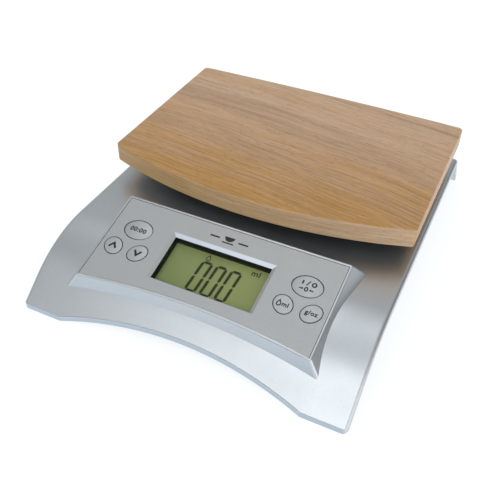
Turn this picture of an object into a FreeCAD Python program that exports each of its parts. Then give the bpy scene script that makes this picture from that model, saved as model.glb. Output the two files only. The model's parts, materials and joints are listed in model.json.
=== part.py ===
import FreeCAD, Part
import math
import os

from FreeCAD import Vector

os.makedirs("parts", exist_ok=True)

# Kitchen scale, built as an assembly. Millimetres, +X right, +Y to the back, +Z up.
# The origin is on the floor, under the middle of the scale.

# ---- Driving dimensions ----
WIDTH = 181.6
DEPTH = 227.6
HEIGHT = 50.2
FRONT = -DEPTH / 2
REAR = DEPTH / 2
HALF_WIDTH = WIDTH / 2

# Shell: one bent sheet, with a ramp, an arch, a flat deck and a rear leg.
SHEET = 2.5
LIP_BOTTOM = 0.8
DECK_Z = 27.6
ARCH_RADIUS = 72.5
ARCH_RUN = 56.1
ARCH_PIECES = 5
RAMP_RUN = 13.3
REAR_KNEE_RUN = 22.2
REAR_FOOT_RUN = 6.0
EDGE_ROUND = 2.2
KNEE_ROUND = 4.0
CORNER_ROUND = 3.0
CORNER_INSET = 2.94
LIP_ROUND = 0.9
LIP_SAGITTA = 9.1
LIP_ARC_HALF = 67.6

# Control panel: a raised wedge on the arch. u runs to the right, v up the slope and n outwards.
PANEL_TILT = 13.88
PANEL_MID = 43.35
PANEL_MID_Z = 29.23
PANEL_HALF_U = 65.2
PANEL_HALF_V = 28.6
PANEL_SAGITTA = 5.2
DRAFT_SIDE = 0.67
DRAFT_BACK = 0.42
DRAFT_FRONT = 0.53
PANEL_WALL = 2.4
PANEL_FRONT_WALL = 3.6
PANEL_SKIN = 3.0
WEDGE_REACH = 20.0
WEDGE_SIDE_ROUND = 1.4
WEDGE_TOP_ROUND = 0.7
HOLLOW_REACH = 17.0
OVERLAY = 1.2
OVERLAY_GAP = 0.35
OVERLAY_FRONT_GAP = 0.1
OVERLAY_MARGIN = 1.3
OVERLAY_BACK_MARGIN = 1.7

# Display window and the parts under it.
WINDOW_HALF_U = 28.0
WINDOW_LOW_V = -15.1
WINDOW_HIGH_V = 12.3
BEVEL_SIDE = 1.9
BEVEL_TOP = 2.2
BEVEL_LOW = 0.8
COLLAR = 1.2
COLLAR_CLEARANCE = 0.05
LENS_DEPTH = 3.4
LENS = 0.9
LENS_LEDGE = 0.4
LCD_DEPTH = 6.2
LCD = 2.2
LCD_MARGIN = 2.4
BEZEL_MARGIN = 4.2
BEZEL_DEPTH = 9.6
CONTACT_STRIP = 2.0
CONTACT_STRIP_HALF = 25.0

# Keys: (body name, u, v, long axis, short axis, turn in degrees).
KEY_GAP = 0.55
KEY_TRAVEL = 0.6
KEY_DOME = 0.45
DOME_RADIUS = 40.0
FLANGE_BRIM = 1.4
FLANGE = 0.9
FLANGE_CLEARANCE = 0.2
KEY_STEM_RADIUS = 2.0
KEYS = [
    ("button_timer", -48.8, 8.5, 15.8, 11.9, 0),
    ("button_up", -56.3, -5.3, 10.9, 9.1, -45),
    ("button_down", -41.5, -5.3, 10.9, 9.1, 45),
    ("button_power_tare", 48.8, 8.5, 15.8, 11.9, 0),
    ("button_liquid", 41.5, -5.3, 10.9, 9.1, -45),
    ("button_units", 56.3, -5.3, 10.9, 9.1, 45),
]

# Circuit board under the panel.
BOARD_DEPTH = 9.6
BOARD = 1.6
BOARD_HALF_U = 61.5
BOARD_LOW_V = -23.0
BOARD_HIGH_V = 17.0
SWITCH_SIDE = 6.0
SWITCH_HEIGHT = 3.5
PLUNGER = 0.8
PLUNGER_RADIUS = 1.7
BOARD_POSTS = [(-34.5, 14.0), (34.5, 14.0), (-34.5, -19.5), (34.5, -19.5)]
POST_RADIUS = 2.6
BOARD_SCREW_RADIUS = 0.9
BOARD_UNDER = -BOARD_DEPTH - BOARD
SOCKET_U = 48.0
SOCKET_V = 12.0
SOCKET_HALF_V = 3.0
SOCKET_HEIGHT = 4.5

# Platter and its carrier.
PLATTER = 11.2
PLATTER_HALF_WIDTH = 89.0
PLATTER_SIDE_FROM = 94.6
PLATTER_FRONT_BOW = 15.5
PLATTER_SIDE_TO = 204.2
PLATTER_BACK_BOW = 1.5
PLATTER_FRONT_CORNER = 1.8
PLATTER_BACK_CORNER = 3.0
PLATTER_RIM = 0.6
CARRIER_HALF_X = 68.0
CARRIER_FROM = 110.0
CARRIER_TO = 190.0
CARRIER_SKIN = 3.0
CARRIER_WALL = 2.0
CARRIER_RIBS = (-40.0, -12.0, 12.0, 40.0)
CARRIER_BOTTOM = 30.4
CARRIER_BRIM = 1.8
BRIM_INSET = 5.0
WOOD_SCREW_PLACES = [(-56.0, 122.0), (56.0, 122.0), (-56.0, 178.0), (56.0, 178.0)]
WOOD_SCREW_RADIUS = 1.6
WOOD_SCREW_BITE = 7.5

# Load cell, a bending bar across the middle of the platter.
CELL_Y_RUN = 146.0
CELL_LENGTH = 75.0
CELL_SIDE = 12.7
CELL_BOTTOM = 6.2
CELL_HOLES = (17.5, 32.5)
CELL_GAP = 0.5
CELL_BORES = (-6.0, 6.0)
CELL_BORE_RADIUS = 5.2
CELL_SCREW_RADIUS = 2.0
CELL_SCREW_CLEARANCE = 0.35
CELL_HEAD_RADIUS = 3.5
CELL_HEAD_TOP = 2.8
STOP_RADIUS = 1.5
GAUGE = 0.2
GAUGE_HALF_X = 3.0
GAUGE_HALF_Y = 2.0
COATING = 1.2
COATING_HALF_X = 11.0
COATING_HALF_Y = 5.0
HUB_X = (11.5, 38.5)
HUB_HALF_Y = 8.0
HUB_CLEARANCE = 3.0
HUB_SEAT = 27.0

# Bottom tray.
TRAY_HALF_WIDTH = 76.0
TRAY_WALL = 2.0
TRAY_BOTTOM = 1.2
TRAY_PLATE = 2.0
TRAY_FRONT_RUN = 12.6
TRAY_FRONT_BOW = 6.5
TRAY_REAR_RUN = 199.0
TRAY_CLEARANCE = 0.15
TRAY_SCREW_BOSS = 5.2
TRAY_RIBS = (-30.0, 30.0)
TRAY_RIB_HALF = 0.8
TRAY_RIB_RUNS = (84.0, 124.0)
TRAY_RIB_HEIGHT = 6.0
CELL_SEAT_X = (-41.0, -12.0)
CELL_SEAT_HALF_Y = 9.0
STOP_BOSS_RADIUS = 4.0
LOW_BOSS = 3.0
FOOT_RADIUS = 5.5
FOOT_RECESS = 1.2
SHELL_SCREW_RADIUS = 1.2
SHELL_SCREW_HEAD = 2.8
SHELL_HEAD_TOP = 2.2
SCREW_HEAD_LOW = 0.4
SHELL_POST_RADIUS = 3.4
SHELL_POST_LOW = 4.0
SHELL_SCREW_REACH = 12.5
FOOT_PLACES = [(-64.0, 27.0), (64.0, 27.0), (-64.0, 190.0), (64.0, 190.0)]
SCREW_PLACES = [(-69.0, 45.0), (69.0, 45.0), (-69.0, 178.0), (69.0, 178.0)]

# Battery bay under the rear of the tray.
BATTERY_RADIUS = 5.25
BATTERY_LENGTH = 43.7
BATTERY_SHIFT = 1.6
BATTERY_Z = 9.6
BATTERY_WALL = 5.7
BAY_HALF_X = 27.0
BAY_FROM = 173.6
BAY_TO = 196.4
BAY_ROOF = 16.2
BAY_WALL = 1.6
BATTERY_ROWS = (FRONT + BAY_FROM + BATTERY_WALL, FRONT + BAY_TO - BATTERY_WALL)
SPRING_RADIUS = 2.6
SPRING_WIRE = 0.3
CONTACT = 0.5
CONTACT_HALF = 4.5
CONTACT_LOW = 3.5
LEAD_RADIUS = 0.7
LEAD_PITCH = 2.6
CELL_CABLE_RADIUS = 1.1
DOOR_GAP = 0.35
DOOR_LEDGE = 1.0
DOOR_TOP = TRAY_BOTTOM + 1.5
HINGE_RADIUS = 1.1
HINGE_CLEARANCE = 0.06
HINGE_LUG = 4.0
HINGE_Z = TRAY_BOTTOM + 2.5
HINGE_SWEEP = HINGE_Z - TRAY_BOTTOM
HINGE_Y = FRONT + BAY_TO - 3.0
DOOR_SIDES_TO = HINGE_Y - HINGE_SWEEP - 0.2
DOOR_SIDE_ROOM = 1.6
LATCH_HALF_X = 3.8
LATCH_TOP = 4.2
THUMB_RADIUS = 9.0
THUMB_DEPTH = 0.7


def at(run):
    """Y of a point that lies run behind the front edge."""
    return FRONT + run


def export(name, shape):
    """Write one named piece."""
    shape.exportStep(os.path.join("parts", name + ".step"))


def box(x0, x1, y0, y1, z0, z1):
    """Box between two corners."""
    return Part.makeBox(x1 - x0, y1 - y0, z1 - z0, Vector(x0, y0, z0))


def rod(radius, start, end):
    """Cylinder from one point to another."""
    path = end - start
    return Part.makeCylinder(radius, path.Length, start, path)


def upright(radius, x, y, z0, z1):
    """Vertical cylinder."""
    return rod(radius, Vector(x, y, z0), Vector(x, y, z1))


def rounded_box(x0, x1, y0, y1, z0, z1, radius):
    """Box with rounded vertical corners."""
    body = box(x0, x1, y0, y1, z0, z1)
    corners = [e for e in body.Edges if abs(e.tangentAt(e.FirstParameter).z) > 0.9]
    return body.makeFillet(radius, corners)


def group(shapes):
    """Several separate solids in one node."""
    return Part.makeCompound(shapes)


# ---- Profiles of the bent sheet, seen from the side ----

def arch_point(run, inset):
    """Point of the arch, inset below its top surface."""
    reach = ARCH_RUN - run
    radius = ARCH_RADIUS - inset
    slope = reach / ARCH_RADIUS
    centre_z = DECK_Z - ARCH_RADIUS
    return Vector(0, at(ARCH_RUN) - radius * slope, centre_z + radius * math.sqrt(1 - slope * slope))


def ramp_point(inset, z=None, run=None):
    """Point of the straight ramp at a given height or run, inset below its top surface."""
    end = arch_point(RAMP_RUN, inset)
    reach = (ARCH_RUN - RAMP_RUN) / ARCH_RADIUS
    slope = reach / math.sqrt(1 - reach * reach)
    if z is not None:
        return Vector(0, end.y - (end.z - z) / slope, z)
    return Vector(0, at(run), end.z - (end.y - at(run)) * slope)


def arch_edges(inset):
    """The arch as a run of equal arcs."""
    step = (ARCH_RUN - RAMP_RUN) / ARCH_PIECES
    edges = []
    for index in range(ARCH_PIECES):
        start = RAMP_RUN + index * step
        points = [arch_point(start + part * step, inset) for part in (0, 0.5, 1)]
        edges.append(Part.Arc(*points).toShape())
    return edges


def deck_edges(inset):
    """Arch, deck and rear leg, from the top of the ramp to the rear foot."""
    first = arch_point(RAMP_RUN, inset)
    crown = arch_point(ARCH_RUN, inset)
    knee = Vector(0, REAR - REAR_KNEE_RUN - 1.6 * inset, DECK_Z - inset)
    foot = Vector(0, REAR - REAR_FOOT_RUN * inset / SHEET, LIP_BOTTOM)
    edges = arch_edges(inset)
    edges.append(Part.makeLine(crown, knee))
    edges.append(Part.makeLine(knee, foot))
    return first, foot, edges


def sheet_section():
    """Closed side section of the bent sheet."""
    outer_first, outer_foot, outer = deck_edges(0)
    inner_first, inner_foot, inner = deck_edges(SHEET)
    lip_top = ramp_point(0, run=0)
    lip_low = ramp_point(SHEET, run=0)
    edges = [Part.makeLine(lip_low, lip_top), Part.makeLine(lip_top, outer_first)] + outer
    edges += [Part.makeLine(outer_foot, inner_foot)] + inner
    edges.append(Part.makeLine(inner_first, lip_low))
    return Part.Face(Part.Wire(Part.__sortEdges__(edges)))


def space_under_sheet(inset):
    """Everything below the sheet's lower surface, across the whole width."""
    first, foot, edges = deck_edges(inset)
    low = ramp_point(inset, z=LIP_BOTTOM)
    below_foot = Vector(0, foot.y, -5)
    below_low = Vector(0, low.y, -5)
    edges += [Part.makeLine(foot, below_foot), Part.makeLine(below_foot, below_low)]
    edges += [Part.makeLine(below_low, low), Part.makeLine(low, first)]
    face = Part.Face(Part.Wire(Part.__sortEdges__(edges)))
    face.translate(Vector(-HALF_WIDTH, 0, 0))
    return face.extrude(Vector(WIDTH, 0, 0))


# ---- Panel frame ----

PANEL_PLACE = FreeCAD.Placement(
    Vector(0, at(PANEL_MID), PANEL_MID_Z), FreeCAD.Rotation(Vector(1, 0, 0), PANEL_TILT))


def on_panel(shape):
    """Move a shape from panel coordinates (u, v, n) to the scale."""
    moved = shape.copy()
    moved.Placement = PANEL_PLACE.multiply(moved.Placement)
    return moved


def panel_rod(radius, u, v, n0, n1):
    """Cylinder along the panel's normal, in panel coordinates."""
    return rod(radius, Vector(u, v, n0), Vector(u, v, n1))


def panel_point(u, v, n):
    """Point of the scale from panel coordinates."""
    return PANEL_PLACE.multVec(Vector(u, v, n))


def panel_wire(half_u, high_v, low_v, bow_v, n):
    """Outline with straight sides and a hollow front edge."""
    right_back = Vector(half_u, high_v, n)
    left_back = Vector(-half_u, high_v, n)
    left_front = Vector(-half_u, low_v, n)
    right_front = Vector(half_u, low_v, n)
    edges = [Part.makeLine(right_back, left_back), Part.makeLine(left_back, left_front)]
    edges.append(Part.Arc(left_front, Vector(0, bow_v, n), right_front).toShape())
    edges.append(Part.makeLine(right_front, right_back))
    return Part.Wire(edges)


def panel_outline(depth, side, back, front):
    """Outline of the drafted wedge at a depth, inset from its outer walls."""
    high = PANEL_HALF_V + DRAFT_BACK * depth - back
    low = -PANEL_HALF_V - DRAFT_FRONT * depth + front
    return panel_wire(PANEL_HALF_U + DRAFT_SIDE * depth - side, high, low, low + PANEL_SAGITTA, -depth)


def wedge(depth_from, depth_to, side=0, back=0, front=0):
    """Drafted wedge between two depths."""
    wires = [panel_outline(depth_from, side, back, front), panel_outline(depth_to, side, back, front)]
    return Part.makeLoft(wires, True, True)


def ellipse_block(u, v, long_axis, short_axis, turn, n0, n1, grow=0.0):
    """Elliptical block in panel coordinates."""
    curve = Part.Ellipse(Vector(0, 0, 0), long_axis / 2 + grow, short_axis / 2 + grow)
    block = Part.Face(Part.Wire(curve.toShape())).extrude(Vector(0, 0, n1 - n0))
    block.rotate(Vector(0, 0, 0), Vector(0, 0, 1), turn)
    block.translate(Vector(u, v, n0))
    return block


# ---- Shell ----

def lip_cut():
    """The hollow taken out of the front edge, seen from above."""
    left = Vector(-LIP_ARC_HALF, FRONT, -1)
    right = Vector(LIP_ARC_HALF, FRONT, -1)
    top = Vector(0, FRONT + LIP_SAGITTA, -1)
    edges = [Part.Arc(left, top, right).toShape(), Part.makeLine(right, left)]
    return Part.Face(Part.Wire(edges)).extrude(Vector(0, 0, 40))


def bent_sheet():
    """The plain sheet, with rounded side edges and the hollow front edge."""
    face = sheet_section()
    face.translate(Vector(-HALF_WIDTH, 0, 0))
    sheet = face.extrude(Vector(WIDTH, 0, 0))
    knee = [e for e in sheet.Edges if is_knee(e)]
    sheet = sheet.makeFillet(KNEE_ROUND, knee)
    rims = [e for e in sheet.Edges if is_side_rim(e)]
    sheet = sheet.makeFillet(EDGE_ROUND, rims)
    sheet = sheet.cut(lip_cut()).cut(corner_cut(-1)).cut(corner_cut(1))
    lips = [e for e in sheet.Edges if is_lip_rim(e)]
    return sheet.makeFillet(LIP_ROUND, lips)


def corner_cut(side):
    """What a rounded front corner leaves out of a square one."""
    x = side * (HALF_WIDTH - CORNER_INSET)
    y = FRONT + CORNER_INSET
    low_x, high_x = sorted((x, side * (HALF_WIDTH + 1)))
    square = box(low_x, high_x, FRONT - 1, y, -1, 20)
    return square.cut(upright(CORNER_ROUND, x, y, -2, 21))


def is_knee(edge):
    """True for the cross edge at the top of the rear leg."""
    middle = edge.CenterOfMass
    return abs(middle.x) < 1 and abs(middle.y - (REAR - REAR_KNEE_RUN)) < 0.5 and middle.z > DECK_Z - 0.5


def is_lip_rim(edge):
    """True for the upper edges along the front lip."""
    low = min(v.Point.z for v in edge.Vertexes)
    runs = [v.Point.y - FRONT for v in edge.Vertexes]
    if max(runs) > LIP_SAGITTA + 0.5 or low < LIP_BOTTOM + 1:
        return False
    heights = [abs(v.Point.z - sheet_top(v.Point.y)) for v in edge.Vertexes]
    return max(heights) < 0.05 and max(abs(v.Point.x) for v in edge.Vertexes) < HALF_WIDTH - EDGE_ROUND + 0.1


def is_side_rim(edge):
    """True for the upper edges along the two sides."""
    for vertex in edge.Vertexes:
        point = vertex.Point
        if abs(abs(point.x) - HALF_WIDTH) > 3.1 or point.z < sheet_top(point.y) - 0.4:
            return False
    return abs(abs(edge.CenterOfMass.x) - HALF_WIDTH) < 1.6 and edge.CenterOfMass.z > LIP_BOTTOM + 1


def sheet_top(y):
    """Height of the sheet's top surface, without the rounding at the knee."""
    run = y - FRONT
    if run < RAMP_RUN:
        return ramp_point(0, run=run).z
    if run < ARCH_RUN:
        return arch_point(run, 0).z
    knee = REAR - REAR_KNEE_RUN
    if y < knee - 3:
        return DECK_Z
    return min(DECK_Z - 2.0, DECK_Z - (y - knee) / REAR_KNEE_RUN * (DECK_Z - LIP_BOTTOM) - 2.0)


def console_block():
    """The wedge, down to the sheet's lower surface, with softened edges."""
    body = wedge(0, WEDGE_REACH)
    middle = -WEDGE_REACH / 2
    slanted = [e for e in body.Edges if abs(e.CenterOfMass.z - middle) < 3 and e.Length < 2 * WEDGE_REACH]
    body = body.makeFillet(WEDGE_SIDE_ROUND, slanted)
    top = [e for e in body.Edges if abs(e.CenterOfMass.z) < 0.01]
    body = on_panel(body.makeFillet(WEDGE_TOP_ROUND, top))
    above = box(-HALF_WIDTH, HALF_WIDTH, FRONT, REAR, -5, HEIGHT).cut(space_under_sheet(SHEET / 2))
    return body.common(above)


def overlay_outline(grow, n):
    """Outline of the face plate, grown or shrunk."""
    half = PANEL_HALF_U - OVERLAY_MARGIN + grow
    high = PANEL_HALF_V - OVERLAY_BACK_MARGIN + grow
    low = -PANEL_HALF_V + OVERLAY_MARGIN - min(grow, OVERLAY_FRONT_GAP)
    return panel_wire(half, high, low, low + PANEL_SAGITTA, n)


def window_block(grow, n0, n1):
    """Rectangular block of the display window, grown by a margin."""
    low = WINDOW_LOW_V - grow
    high = WINDOW_HIGH_V + grow
    half = WINDOW_HALF_U + grow
    return box(-half, half, low, high, n0, n1)


def key_holes(n0, n1, grow):
    """Blocks of all the key holes between two levels."""
    return [ellipse_block(*plan, n0, n1, grow) for name, *plan in KEYS]


def top_shell():
    """Bent sheet with the raised panel, its windows and its screw posts."""
    shell = bent_sheet().fuse(console_block())
    hollow = wedge(PANEL_SKIN, HOLLOW_REACH, PANEL_WALL, PANEL_WALL, PANEL_FRONT_WALL)
    pocket = Part.Face(overlay_outline(OVERLAY_GAP, -OVERLAY)).extrude(Vector(0, 0, OVERLAY + 1))
    cuts = [hollow, pocket, window_block(COLLAR + COLLAR_CLEARANCE, -PANEL_SKIN - 1, 1)]
    cuts += key_holes(-PANEL_SKIN - 1, 1, KEY_GAP)
    for cut in cuts:
        shell = shell.cut(on_panel(cut))
    posts = []
    for u, v in BOARD_POSTS:
        posts.append(on_panel(panel_rod(POST_RADIUS, u, v, -BOARD_DEPTH, -PANEL_SKIN + 0.5)))
    for x, run in SCREW_PLACES:
        posts.append(upright(SHELL_POST_RADIUS, x, at(run), TRAY_BOTTOM + SHELL_POST_LOW,
                             arch_height(run) - SHEET / 2))
    shell = shell.fuse(posts)
    for u, v in BOARD_POSTS:
        shell = shell.cut(on_panel(panel_rod(BOARD_SCREW_RADIUS, u, v, -BOARD_DEPTH - 1, -BOARD_DEPTH + 5)))
    for x, run in SCREW_PLACES:
        shell = shell.cut(upright(SHELL_SCREW_RADIUS, x, at(run), 0, TRAY_BOTTOM + SHELL_SCREW_REACH + 0.5))
    return shell.cut(hub_block(HUB_CLEARANCE, DECK_Z - 8, DECK_Z + 4)).removeSplitter()


def hub_block(grow, z0, z1):
    """Block of the carrier's hub, grown by a margin, between two heights."""
    y = at(CELL_Y_RUN)
    return rounded_box(HUB_X[0] - grow, HUB_X[1] + grow, y - HUB_HALF_Y - grow, y + HUB_HALF_Y + grow,
                       z0, z1, 3)


def arch_height(run):
    """Height of the sheet's top at a run, ahead of the rear knee."""
    if run < ARCH_RUN:
        return arch_point(run, 0).z
    return DECK_Z


# ---- Panel parts ----

def control_overlay():
    """Face plate of the panel, with a bevelled window and the key holes."""
    plate = Part.Face(overlay_outline(0, -OVERLAY)).extrude(Vector(0, 0, OVERLAY))
    plate = plate.cut(bevel_block())
    plate = plate.cut(window_block(0, -OVERLAY - 1, 1))
    for hole in key_holes(-OVERLAY - 1, 1, KEY_GAP):
        plate = plate.cut(hole)
    return on_panel(plate)


def bevel_block():
    """Sloping sides of the window, wide at the top edge."""
    low = Part.makePolygon(window_corners(0, 0, 0, -OVERLAY + 0.15))
    high = Part.makePolygon(window_corners(BEVEL_SIDE, BEVEL_TOP, BEVEL_LOW, 0.01))
    return Part.makeLoft([low, high], True, True)


def window_corners(side, top, low, n):
    """Closed run of the window's corners, with its own margin on each side."""
    half = WINDOW_HALF_U + side
    v0 = WINDOW_LOW_V - low
    v1 = WINDOW_HIGH_V + top
    corners = [Vector(-half, v0, n), Vector(half, v0, n), Vector(half, v1, n), Vector(-half, v1, n)]
    return corners + [corners[0]]


def display_bezel():
    """Dark frame that lines the window and holds the display on the board."""
    collar = window_block(COLLAR, -PANEL_SKIN - 0.1, -OVERLAY - 0.02)
    frame = window_block(BEZEL_MARGIN, -BEZEL_DEPTH, -PANEL_SKIN - 0.02).fuse(collar)
    cuts = [window_block(0, -LCD_DEPTH - 1, 1)]
    cuts.append(window_block(LENS_LEDGE + COLLAR_CLEARANCE, -LENS_DEPTH - LENS, 1))
    cuts.append(window_block(LCD_MARGIN + COLLAR_CLEARANCE, -BEZEL_DEPTH - 1, -LCD_DEPTH))
    cuts += [panel_rod(POST_RADIUS + 0.4, u, v, -BEZEL_DEPTH - 1, 0) for u, v in BOARD_POSTS]
    for cut in cuts:
        frame = frame.cut(cut)
    return on_panel(frame)


def display_lens():
    """Clear window that stands on the frame's ledge over the display."""
    return on_panel(window_block(LENS_LEDGE, -LENS_DEPTH - LENS, -LENS_DEPTH))


def lcd_glass():
    """Liquid crystal cell: a front pane that leaves the rear pane's contact ledge free."""
    middle = -LCD_DEPTH - LCD / 2
    front_pane = window_block(LCD_MARGIN, middle, -LCD_DEPTH - 0.05)
    rear_pane = window_block(LCD_MARGIN, -LCD_DEPTH - LCD, middle)
    step = box(-WINDOW_HALF_U - 5, WINDOW_HALF_U + 5, WINDOW_HIGH_V + 0.4, WINDOW_HIGH_V + 5, middle, 0)
    return on_panel(front_pane.cut(step).fuse(rear_pane).removeSplitter())


def contact_strips():
    """Two rubber strips that join the display to the board."""
    strips = []
    half = CONTACT_STRIP_HALF
    for v in (WINDOW_LOW_V - 1.2, WINDOW_HIGH_V - 0.8):
        strip = box(-half, half, v, v + CONTACT_STRIP, -BOARD_DEPTH, -LCD_DEPTH - LCD)
        strips.append(on_panel(strip))
    return group(strips)


def key(u, v, *oval):
    """One key: a domed oval cap, a flange under the skin and a stem."""
    plan = (u, v, *oval)
    flange_top = -PANEL_SKIN - FLANGE_CLEARANCE
    cap = ellipse_block(*plan, flange_top, 2)
    cap = cap.common(Part.makeSphere(DOME_RADIUS, Vector(u, v, KEY_DOME - DOME_RADIUS)))
    flange = ellipse_block(*plan, flange_top - FLANGE, flange_top, FLANGE_BRIM)
    stem_end = -BOARD_DEPTH + SWITCH_HEIGHT + PLUNGER + KEY_TRAVEL + 0.1
    stem = panel_rod(KEY_STEM_RADIUS, u, v, stem_end, flange_top - FLANGE / 2)
    return on_panel(cap.fuse(flange).fuse(stem).removeSplitter())


def control_board():
    """Printed board, parallel to the panel."""
    board = box(-BOARD_HALF_U, BOARD_HALF_U, BOARD_LOW_V, BOARD_HIGH_V, BOARD_UNDER, -BOARD_DEPTH)
    for u, v in BOARD_POSTS:
        board = board.cut(panel_rod(BOARD_SCREW_RADIUS + 0.3, u, v, BOARD_UNDER - 1, 0))
    return on_panel(board)


def tact_switches():
    """One small push switch under each key."""
    switches = []
    half = SWITCH_SIDE / 2
    top = -BOARD_DEPTH + SWITCH_HEIGHT
    for name, u, v, *oval in KEYS:
        body = box(u - half, u + half, v - half, v + half, -BOARD_DEPTH, top)
        plunger = panel_rod(PLUNGER_RADIUS, u, v, top - 0.3, top + PLUNGER)
        switches.append(on_panel(body.fuse(plunger).removeSplitter()))
    return group(switches)


def board_screws():
    """Four screws that hold the board to the panel posts."""
    screws = []
    for u, v in BOARD_POSTS:
        shank = panel_rod(BOARD_SCREW_RADIUS, u, v, BOARD_UNDER, -BOARD_DEPTH + 4.5)
        head = panel_rod(BOARD_SCREW_RADIUS + 1.0, u, v, BOARD_UNDER - 1.3, BOARD_UNDER)
        slot = box(u - 1.3, u + 1.3, v - 0.25, v + 0.25, BOARD_UNDER - 2, BOARD_UNDER - 0.7)
        screws.append(on_panel(shank.fuse(head).cut(slot).removeSplitter()))
    return group(screws)


def controller_chip():
    """Controller under a drop of potting resin."""
    radius = 13.0
    height = 1.8
    ball = Part.makeSphere(radius, Vector(0, -2, BOARD_UNDER - height + radius))
    under_board = box(-radius, radius, -2 - radius, -2 + radius, BOARD_UNDER - 2 * height, BOARD_UNDER)
    return on_panel(ball.common(under_board))


def timing_crystal():
    """Quartz crystal in its small can."""
    radius = 1.5
    level = BOARD_UNDER - radius
    return on_panel(rod(radius, Vector(12, -7, level), Vector(12, 1, level)))


def capacitors():
    """Two filter capacitors standing on the underside of the board."""
    return group([on_panel(panel_rod(2.5, u, 8.0, BOARD_UNDER - 5.0, BOARD_UNDER)) for u in (20.0, 26.5)])


def board_sockets():
    """Plug sockets for the load cell and battery leads."""
    sockets = []
    for u, half in ((-SOCKET_U, 5.0), (SOCKET_U, 3.5)):
        low, high = SOCKET_V - SOCKET_HALF_V, SOCKET_V + SOCKET_HALF_V
        sockets.append(on_panel(box(u - half, u + half, low, high, BOARD_UNDER - SOCKET_HEIGHT, BOARD_UNDER)))
    return group(sockets)


def timer_buzzer():
    """Piezo sounder of the timer."""
    u, v = -22.0, 3.0
    case = panel_rod(6.0, u, v, BOARD_UNDER - 4.0, BOARD_UNDER)
    port = panel_rod(1.0, u, v, BOARD_UNDER - 5.0, BOARD_UNDER - 3.0)
    return on_panel(case.cut(port))


# ---- Bottom tray ----

def tray_plan(inset):
    """Outline of the tray from above, with a hollow front edge."""
    half = TRAY_HALF_WIDTH - inset
    front = at(TRAY_FRONT_RUN) + inset
    back = at(TRAY_REAR_RUN) - inset
    left = Vector(-half, front, 0)
    right = Vector(half, front, 0)
    edges = [Part.Arc(left, Vector(0, front + TRAY_FRONT_BOW, 0), right).toShape()]
    edges.append(Part.makeLine(right, Vector(half, back, 0)))
    edges.append(Part.makeLine(Vector(half, back, 0), Vector(-half, back, 0)))
    edges.append(Part.makeLine(Vector(-half, back, 0), left))
    return Part.Face(Part.Wire(edges))


def tray_prism(inset, z0, z1):
    """Upright prism on the tray's outline."""
    face = tray_plan(inset)
    face.translate(Vector(0, 0, z0))
    return face.extrude(Vector(0, 0, z1 - z0))


def bottom_tray():
    """Plate with side walls up to the shell, posts, the cell's seat and the battery bay."""
    floor_top = TRAY_BOTTOM + TRAY_PLATE
    room = space_under_sheet(SHEET + TRAY_CLEARANCE)
    tray = tray_prism(0, TRAY_BOTTOM, DECK_Z).common(room)
    tray = tray.cut(tray_prism(TRAY_WALL, floor_top, DECK_Z + 5))
    cell_y = at(CELL_Y_RUN)
    additions = [box(*CELL_SEAT_X, cell_y - CELL_SEAT_HALF_Y, cell_y + CELL_SEAT_HALF_Y,
                     TRAY_BOTTOM, CELL_BOTTOM)]
    additions.append(box(-BAY_HALF_X - BAY_WALL, BAY_HALF_X + BAY_WALL, at(BAY_FROM) - BAY_WALL,
                         at(TRAY_REAR_RUN) - 1, TRAY_BOTTOM, BAY_ROOF + 1.5))
    for x, run in SCREW_PLACES:
        additions.append(upright(TRAY_SCREW_BOSS, x, at(run), TRAY_BOTTOM,
                                 TRAY_BOTTOM + SHELL_POST_LOW - 0.1))
    for x, run in FOOT_PLACES:
        additions.append(upright(FOOT_RADIUS + 1.5, x, at(run), TRAY_BOTTOM, TRAY_BOTTOM + LOW_BOSS))
    additions.append(upright(STOP_BOSS_RADIUS, CELL_HOLES[1], cell_y, TRAY_BOTTOM, TRAY_BOTTOM + LOW_BOSS))
    for x in TRAY_RIBS:
        additions.append(box(x - TRAY_RIB_HALF, x + TRAY_RIB_HALF, at(TRAY_RIB_RUNS[0]), at(TRAY_RIB_RUNS[1]),
                             TRAY_BOTTOM + 1, TRAY_BOTTOM + TRAY_RIB_HEIGHT))
    tray = tray.fuse([piece.common(tray_prism(0.5, 0, DECK_Z)) for piece in additions])
    for hole in battery_room() + tray_holes():
        tray = tray.cut(hole)
    return tray.removeSplitter()


def tray_holes():
    """Recesses for the feet, screws and stop."""
    holes = []
    cell_y = at(CELL_Y_RUN)
    for x, run in FOOT_PLACES:
        holes.append(upright(FOOT_RADIUS, x, at(run), 0, TRAY_BOTTOM + FOOT_RECESS))
    for x, run in SCREW_PLACES:
        holes.append(upright(SHELL_SCREW_HEAD + 0.3, x, at(run), 0, TRAY_BOTTOM + SHELL_HEAD_TOP))
        holes.append(upright(SHELL_SCREW_RADIUS + 0.3, x, at(run), 0, TRAY_BOTTOM + 5))
    for x in CELL_HOLES:
        holes.append(upright(CELL_HEAD_RADIUS + 0.3, -x, cell_y, 0, TRAY_BOTTOM + CELL_HEAD_TOP))
        holes.append(upright(CELL_SCREW_RADIUS, -x, cell_y, 0, CELL_BOTTOM + 1))
    holes.append(upright(STOP_RADIUS, CELL_HOLES[1], cell_y, 0, CELL_BOTTOM + 4))
    return holes


def battery_room():
    """Inside of the bay, with the door's recess, its hinge sockets and latch groove."""
    inside = box(-BAY_HALF_X, BAY_HALF_X, at(BAY_FROM), at(BAY_TO), 0, BAY_ROOF)
    recess = door_plan(DOOR_LEDGE + DOOR_GAP, DOOR_SIDES_TO + DOOR_SIDE_ROOM, -1, DOOR_TOP + 0.2)
    half = LATCH_HALF_X + 0.6
    groove = box(-half, half, at(BAY_FROM) - 1.1, at(BAY_FROM) + 1, DOOR_TOP, TRAY_BOTTOM + LATCH_TOP + 0.5)
    return [inside, recess, groove] + hinge_sockets()


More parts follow.
